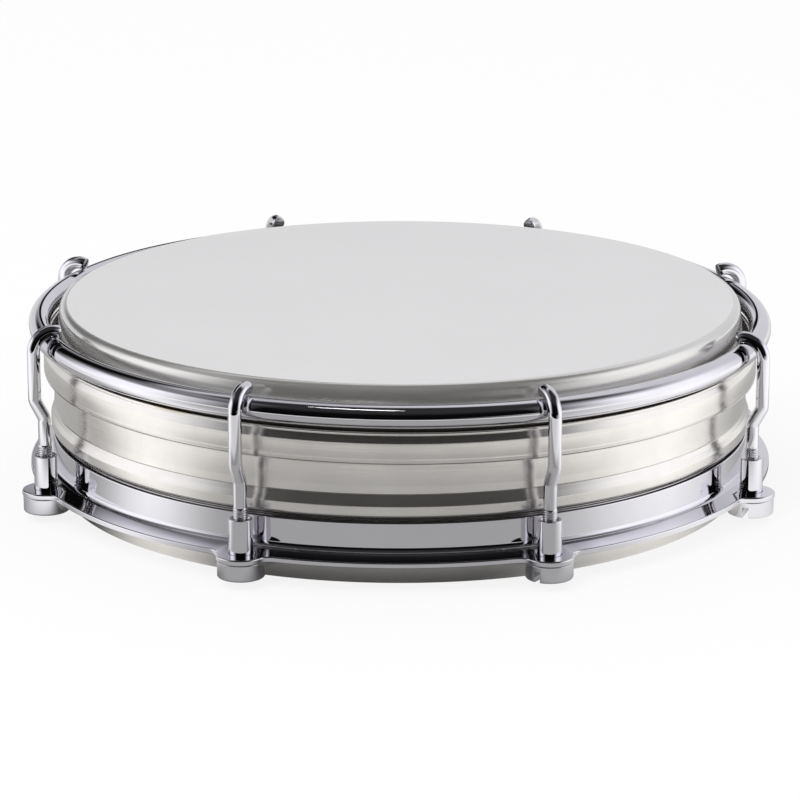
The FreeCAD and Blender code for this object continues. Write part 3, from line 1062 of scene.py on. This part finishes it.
class BuildHooks(Operator):
    """Thread, bend and cut the eight hooks"""

    bl_idname = "tamborim.build_hooks"
    bl_label = "Hooks"

    def execute(self, context):
        sizes = context.scene.tamborim_hook
        plating = chrome_plate("hook_chrome", context.scene.tamborim_finish)
        for number, place in enumerate(nut_places, 1):
            bm = bmesh.new()
            rim = self.cut_thread(bm, sizes)
            rim = self.bend_rod(bm, sizes, rim)
            self.cut_end(bm, sizes, rim)
            rotated(bm, direction_of(place))
            make_piece(bm, f"threaded_hook_{number}", [plating], hoop_body, f"hook_{number}", 40.0)
        return {"FINISHED"}

    def cut_thread(self, bm, sizes):
        """The threaded end beside +X; returns the open rim at its top."""
        bottom = hook_low.z
        top = bottom + sizes.thread_length
        rows = round(sizes.thread_length / sizes.thread_pitch * ROWS_IN_A_TURN)
        circle = bmesh.ops.create_circle(
            bm, cap_ends=True, segments=sizes.sides, radius=sizes.thread_radius
        )
        bmesh.ops.translate(bm, vec=(nut_circle, 0, bottom), verts=circle["verts"])
        rim = bm.edges[:]
        for row in range(rows):
            rim = grow(bm, rim, (0, 0, sizes.thread_length / rows))
        axis = Vector((nut_circle, 0, 0))
        for vert in bm.verts:
            beside = vert.co - axis
            across = beside.to_2d().normalized() * thread_reach(sizes, beside, bottom, top)
            vert.co = Vector((nut_circle + across.x, across.y, vert.co.z))
        return rim

    def bend_rod(self, bm, sizes, rim):
        """Shank, jog and claw; returns the open rim at the claw's end."""
        thread_top = hook_low.z + sizes.thread_length
        lean = math.atan2(sizes.jog_offset, sizes.jog_height)
        reach = sizes.jog_bend * math.tan(lean / 2)
        rim = grow(bm, rim, (0, 0, sizes.jog_rise - reach))
        start = thread_top + sizes.jog_rise - reach
        rim = bend(bm, rim, (nut_circle + sizes.jog_bend, 0, start), lean, JOG_STEPS)
        slope = Vector((math.sin(lean), 0, math.cos(lean)))
        run = math.hypot(sizes.jog_offset, sizes.jog_height) - 2 * reach
        rim = grow(bm, rim, slope * run)
        jog_top = thread_top + sizes.jog_rise + sizes.jog_height
        shank = nut_circle + sizes.jog_offset
        rim = bend(bm, rim, (shank - sizes.jog_bend, 0, jog_top + reach), -lean, JOG_STEPS)
        claw_height = hook_high.z - sizes.rod_radius - sizes.claw_radius
        rim = grow(bm, rim, (0, 0, claw_height - jog_top - reach))
        centre = (shank - sizes.claw_radius, 0, claw_height)
        rim = bend(bm, rim, centre, -sizes.claw_turn, CLAW_STEPS)
        onwards = Vector((-math.sin(sizes.claw_turn), 0, math.cos(sizes.claw_turn)))
        return grow(bm, rim, onwards * sizes.claw_end)

    def cut_end(self, bm, sizes, rim):
        """Closes the claw's end and breaks its edge."""
        cap = bmesh.ops.contextual_create(bm, geom=rim)
        bmesh.ops.bevel(
            bm,
            geom=[edge for face in cap["faces"] for edge in face.edges],
            offset=sizes.cut_bevel,
            segments=2,
            profile=0.5,
            affect="EDGES",
            material=-1,
        )
        bmesh.ops.recalc_face_normals(bm, faces=bm.faces)


class BuildNuts(Operator):
    """Turn the eight tube nuts and saw their slots"""

    bl_idname = "tamborim.build_nuts"
    bl_label = "Tube nuts"

    def execute(self, context):
        sizes = context.scene.tamborim_nut
        plating = chrome_plate("nut_chrome", context.scene.tamborim_finish)
        for number, (place, slot_turn) in enumerate(zip(nut_places, sizes.slot_turns), 1):
            bm = turned(self.section(sizes), NUT_STEPS, closed=False)
            self.saw_slot(bm, sizes, direction_of(place) + slot_turn)
            bmesh.ops.translate(bm, vec=(place.x, place.y, nut_low.z), verts=bm.verts)
            body = f"nut_{number}_body"
            make_piece(bm, f"slotted_nut_{number}", [plating], body, f"nut_{number}", 30.0)
        return {"FINISHED"}

    def section(self, sizes):
        """Corners of one nut on the Z axis, its head's lower face at height zero."""
        top = nut_high.z - nut_low.z
        shoulder = top - sizes.tube_height
        head = sizes.head_radius
        tube = sizes.tube_radius
        return [
            (0, 0, 0),
            (head, 0, sizes.head_rim),
            (head, sizes.head_rim * 1.1, 0),
            (head, shoulder - sizes.head_edge * 1.3, 0),
            (head, shoulder, sizes.head_edge),
            (tube, shoulder, 0),
            (tube, shoulder + sizes.tube_edge, 0),
            (tube, top - sizes.tube_edge * 1.3, 0),
            (tube, top, sizes.tube_edge),
            (sizes.bore_radius + sizes.mouth, top, 0),
            (sizes.bore_radius, top - sizes.mouth, 0),
            (sizes.bore_radius, sizes.bore_floor, 0),
            (0, sizes.bore_floor, 0),
        ]

    def saw_slot(self, bm, sizes, direction):
        """Saws the screwdriver slot through the head."""
        saw = bmesh.new()
        bmesh.ops.create_cube(saw, size=1.0)
        size = Vector((4 * sizes.head_radius, sizes.slot_width, 2 * sizes.slot_depth))
        bmesh.ops.scale(saw, vec=size, verts=saw.verts)
        rotated(saw, direction)
        cut_away(bm, saw, sizes.slot_bevel)


class Surroundings(Nodes):
    """What metal sees round the drum, built in the floor's or the world's node tree."""

    def __init__(self, tree, coordinates):
        super().__init__(tree)
        place = self.node("ShaderNodeTexCoord").outputs[coordinates]
        parts = self.fed("ShaderNodeSeparateXYZ", Vector=place)
        self.x, self.y, self.z = (parts.outputs[name] for name in ("X", "Y", "Z"))
        self.across = self.times(self.x, self.x)
        self.square = self.maths("ADD", self.across, self.times(self.y, self.y))
        self.distance = self.maths("SQRT", self.square)
        self.left = self.maths("LESS_THAN", self.x, 0.0)
        path = self.node("ShaderNodeLightPath")
        self.to_camera = path.outputs["Is Camera Ray"]
        self.to_metal = path.outputs["Is Glossy Ray"]

    def sideways(self, low, high):
        """From 0 in front and behind to 1 at the sides; the screen on the left is a little narrower."""
        narrower = self.maths("SUBTRACT", 1.0, self.times(self.left, LEFT_NARROWER))
        part = self.times(self.maths("DIVIDE", self.across, self.square), narrower)
        part = self.maths("DIVIDE", self.maths("SUBTRACT", part, low), high - low)
        part = self.maths("MINIMUM", self.maths("MAXIMUM", part, 0.0), 1.0)
        return self.maths("POWER", part, SIDES_FALLOFF)

    def mirrored(self):
        """Where upright walls mirror a place of the floor: an angle from 0 in front to half a turn behind."""
        place =self.maths("ARCTAN2", self.maths("ABSOLUTE", self.x), self.times(self.y, -1.0))
        slant = self.maths("DIVIDE", drum_radius * math.sqrt(0.5), self.distance)
        seen = self.maths("ADD", place, self.maths("ARCSINE", slant))
        offset = self.times(self.maths("SINE", self.times(seen, 0.5)), drum_radius)
        return self.maths("ADD", place, self.maths("ARCSINE", self.maths("DIVIDE", offset, self.distance)))

    def patch(self, value, middle, half):
        """A smooth patch round a middle value."""
        off = self.maths("ABSOLUTE", self.maths("SUBTRACT", value, middle))
        return self.ranged(self.maths("DIVIDE", off, half), 0.0, 1.0, 1.0, 0.0)

    def flagged(self, level, settings, slope, reach):
        """Darkens a level where the flag stands behind on the left, as far as it reaches."""
        flag = self.times(self.patch(slope, settings.flag_middle, settings.flag_half), 2.0)
        flag = self.times(self.maths("MINIMUM", flag, 1.0), reach)
        return self.mixed(flag, level, settings.front_wall)


class BuildStage(Operator):
    """Lay the floor, hang the lamps and place the camera"""

    bl_idname = "tamborim.build_stage"
    bl_label = "Stage"

    def execute(self, context):
        settings = context.scene.tamborim_stage
        self.lay_floor(settings)
        self.paint_room(settings)
        self.hang_lamp("soft_lamp", settings.lamp_place, SOFT_LAMP_SIZE, settings.lamp_power, False)
        strip = self.hang_lamp(
            "strip_lamp", settings.strip_place, STRIP_LAMP_SIZE, settings.strip_power, True
        )
        lit = bpy.data.collections.new("lit_by_strip")
        for piece in bpy.data.objects:
            if piece.name == "welded_counterhoop":
                lit.objects.link(piece)
        strip.light_linking.receiver_collection = lit
        self.place_camera(context, settings)
        context.scene.view_settings.view_transform = "Standard"
        return {"FINISHED"}

    def lay_floor(self, settings):
        """A plain white floor just under the drum."""
        bm = bmesh.new()
        bmesh.ops.create_grid(bm, x_segments=1, y_segments=1, size=settings.floor_reach)
        mesh = bpy.data.meshes.new("floor")
        bm.to_mesh(mesh)
        bm.free()
        floor = bpy.data.objects.new("floor", mesh)
        floor.location.z = cad_box[0].z - 0.02 * MM
        bpy.context.scene.collection.objects.link(floor)
        material = bpy.data.materials.new("pale_floor")
        material.use_nodes = True
        self.paint_floor(material.node_tree, settings)
        mesh.materials.append(material)

    def paint_floor(self, tree, settings):
        """White with a soft shadow to the camera; to metal it is an emission, painted light that stands in
        for the room's lamps on the floor.
        """
        tree.nodes.clear()
        shown = Surroundings(tree, "Object")
        metal = shown.fed("ShaderNodeEmission", Strength=self.floor_level(shown, settings))
        glow = shown.node("ShaderNodeEmission")
        diffuse = shown.fed("ShaderNodeBsdfDiffuse", Color=settings.floor_white)
        seen = shown.fed("ShaderNodeMixShader", Fac=shown.times(shown.to_camera, settings.floor_glow))
        shown.feed(seen.inputs[1], diffuse.outputs["BSDF"])
        shown.feed(seen.inputs[2], glow.outputs["Emission"])
        surface = shown.fed("ShaderNodeMixShader", Fac=shown.to_metal)
        shown.feed(surface.inputs[1], seen.outputs["Shader"])
        shown.feed(surface.inputs[2], metal.outputs["Emission"])
        shown.fed("ShaderNodeOutputMaterial", Surface=surface.outputs["Shader"])

    def floor_level(self, shown, settings):
        """How bright metal sees the floor's painted light: grey nearby, white at the sides, a painted contact
        shadow at the rim, dark at the flag.
        """
        far = shown.distance
        nearby = settings.floor_near
        band = settings.band_near
        edge = drum_radius * settings.painted_shadow_reach
        front = shown.ranged(far, settings.middle_near, band, nearby, settings.floor_middle)
        front = shown.ranged(far, band, band * 1.1, front, settings.floor_band)
        front = shown.times(front, shown.ranged(far, settings.band_far * 0.95, settings.band_far, 1.0, 0.0))
        back = shown.ranged(far, edge, settings.side_far * 2, nearby, settings.back_wall)
        level = shown.mixed(shown.ranged(shown.y, 0.0, drum_radius), front, back)
        # Painted contact shadow: the floor's emission that metal sees darkens towards the rim.
        level = shown.times(level, shown.ranged(far, drum_radius, edge, settings.contact, 1.0))
        side = shown.ranged(far, edge, settings.side_far, settings.floor_beside, settings.side_wall)
        side_edge = drum_radius * settings.side_painted_shadow_reach
        # The same painted contact shadow, lighter, at the sides.
        side = shown.times(side, shown.ranged(far, drum_radius, side_edge, settings.side_painted_contact_shadow, 1.0))
        direction = shown.mirrored()
        widens = (drum_radius * settings.widens_from, drum_radius * settings.widens_to)
        wider = shown.ranged(far, *widens, 1.0, settings.far_widens)
        left = shown.patch(direction, settings.left_middle, shown.times(wider, settings.left_half))
        right = shown.patch(direction, settings.right_middle, shown.times(wider, settings.right_half))
        level = shown.mixed(shown.mixed(shown.left, right, left), level, side)
        slope = shown.maths("DIVIDE", shown.x, shown.maths("ADD", shown.y, settings.flag_back))
        return shown.flagged(level, settings, slope, shown.ranged(shown.y, edge, edge * 1.4))

    def paint_room(self, settings):
        """White to the camera, soft light on the drum; metal shows a dark room with lit screens."""
        world = bpy.data.worlds.new("studio")
        bpy.context.scene.world = world
        world.use_nodes = True
        world.cycles.sampling_method = "NONE"
        shown = Surroundings(world.node_tree, "Generated")
        studio = self.room_level(shown, settings)
        seen = shown.mixed(shown.to_camera, settings.dome_strength, 1.0)
        background = shown.tree.nodes["Background"]
        shown.feed(background.inputs["Strength"], shown.mixed(shown.to_metal, seen, studio))
        tint = shown.mixed(shown.to_metal, (1.0, 1.0, 1.0), settings.room_tint, "RGBA")
        shown.feed(background.inputs["Color"], tint)

    def room_level(self, shown, settings):
        """How bright metal shows the room: screens at the sides and behind, dark in front and overhead."""
        height = shown.z
        end = math.sin(settings.screens_end)
        side_fades = math.sin(settings.side_fades)
        left_fades = math.sin(settings.left_fades)
        back_fades = math.sin(settings.back_fades)
        right = shown.ranged(height, side_fades, end, settings.side_wall, settings.ceiling)
        left = shown.ranged(height, side_fades, left_fades, settings.side_wall, settings.left_upper)
        left = shown.mixed(shown.ranged(height, end * 0.93, end * 1.03), left, settings.ceiling)
        front = shown.ranged(height, end * 0.5, end, settings.front_wall, settings.ceiling)
        back = shown.ranged(height, back_fades, end * 1.1, settings.back_wall, settings.ceiling)
        dark = shown.times(shown.ranged(shown.x, *DARK_SIDE), shown.ranged(height, *DARK_BEGINS))
        dark = shown.times(dark, shown.ranged(height, *DARK_ENDS, 1.0, 0.0))
        back = shown.mixed(dark, back, settings.front_wall)
        back = shown.flagged(back, settings, shown.x, shown.ranged(height, *FLAG_ENDS, 1.0, 0.0))
        centre = shown.mixed(shown.ranged(shown.y, *BACK_BEGINS), front, back)
        return shown.mixed(shown.sideways(*SIDES_BEGIN), centre, shown.mixed(shown.left, right, left))

    def hang_lamp(self, name, place, size, power, shows):
        """One area lamp that looks at the drum."""
        data = bpy.data.lights.new(name, "AREA")
        data.shape = "ELLIPSE"
        data.size, data.size_y = size
        data.energy = power
        lamp = bpy.data.objects.new(name, data)
        lamp.location = place
        lamp.rotation_euler = (-Vector(place)).to_track_quat("-Z", "Y").to_euler()
        lamp.visible_glossy = shows
        bpy.context.scene.collection.objects.link(lamp)
        return lamp

    def place_camera(self, context, settings):
        """The camera where the photo was taken from."""
        data = bpy.data.cameras.new("photo_camera")
        data.sensor_width = SENSOR_WIDTH
        data.lens = settings.focal_pixels / PHOTO_PIXELS * SENSOR_WIDTH
        data.clip_start = 0.05
        data.clip_end = 20.0
        camera = bpy.data.objects.new("photo_camera", data)
        context.scene.collection.objects.link(camera)
        context.scene.camera = camera
        rise, side = settings.camera_height, settings.camera_side
        flat = math.cos(rise)
        back = Vector((math.sin(side) * flat, -math.cos(side) * flat, math.sin(rise)))
        camera.location = back * settings.camera_distance - Vector((0, 0, settings.circled_height))
        looks_down = rise - settings.camera_tilt
        camera.rotation_euler = (math.radians(90) - looks_down, 0, side)


STEPS = (
    BuildShell,
    BuildRing,
    BuildHead,
    BuildFleshHoop,
    BuildResin,
    BuildCounterhoop,
    BuildHooks,
    BuildNuts,
    BuildStage,
)

GROUPS = {
    "tamborim_shell": ShellSizes,
    "tamborim_seat": SeatSizes,
    "tamborim_film": FilmSizes,
    "tamborim_flesh_hoop": FleshHoopSizes,
    "tamborim_ring": RingSizes,
    "tamborim_counterhoop": CounterhoopSizes,
    "tamborim_hook": HookSizes,
    "tamborim_nut": NutSizes,
    "tamborim_resin": ResinSizes,
    "tamborim_finish": FinishSettings,
    "tamborim_stage": StageSettings,
}


class TamborimPanel(Panel):
    """The drum's build steps and sizes"""

    bl_idname = "VIEW3D_PT_tamborim"
    bl_label = "Tamborim"
    bl_space_type = "VIEW_3D"
    bl_region_type = "UI"
    bl_category = "Tamborim"

    def draw(self, context):
        layout = self.layout
        for step in STEPS:
            layout.operator(step.bl_idname)
        for name, group in GROUPS.items():
            box = layout.box()
            box.label(text=name.removeprefix("tamborim_").replace("_", " ").capitalize())
            settings = getattr(context.scene, name)
            for key in group.__annotations__:
                box.prop(settings, key)


def register():
    for group in GROUPS.values():
        bpy.utils.register_class(group)
    for name, group in GROUPS.items():
        setattr(bpy.types.Scene, name, PointerProperty(type=group))
    for step in STEPS:
        bpy.utils.register_class(step)
    bpy.utils.register_class(TamborimPanel)


def unregister():
    bpy.utils.unregister_class(TamborimPanel)
    for step in reversed(STEPS):
        bpy.utils.unregister_class(step)
    for name in GROUPS:
        delattr(bpy.types.Scene, name)
    for group in reversed(list(GROUPS.values())):
        bpy.utils.unregister_class(group)


def main():
    register()
    for step in STEPS:
        family, action = step.bl_idname.split(".")
        getattr(getattr(bpy.ops, family), action)()


if __name__ == "__main__":
    main()
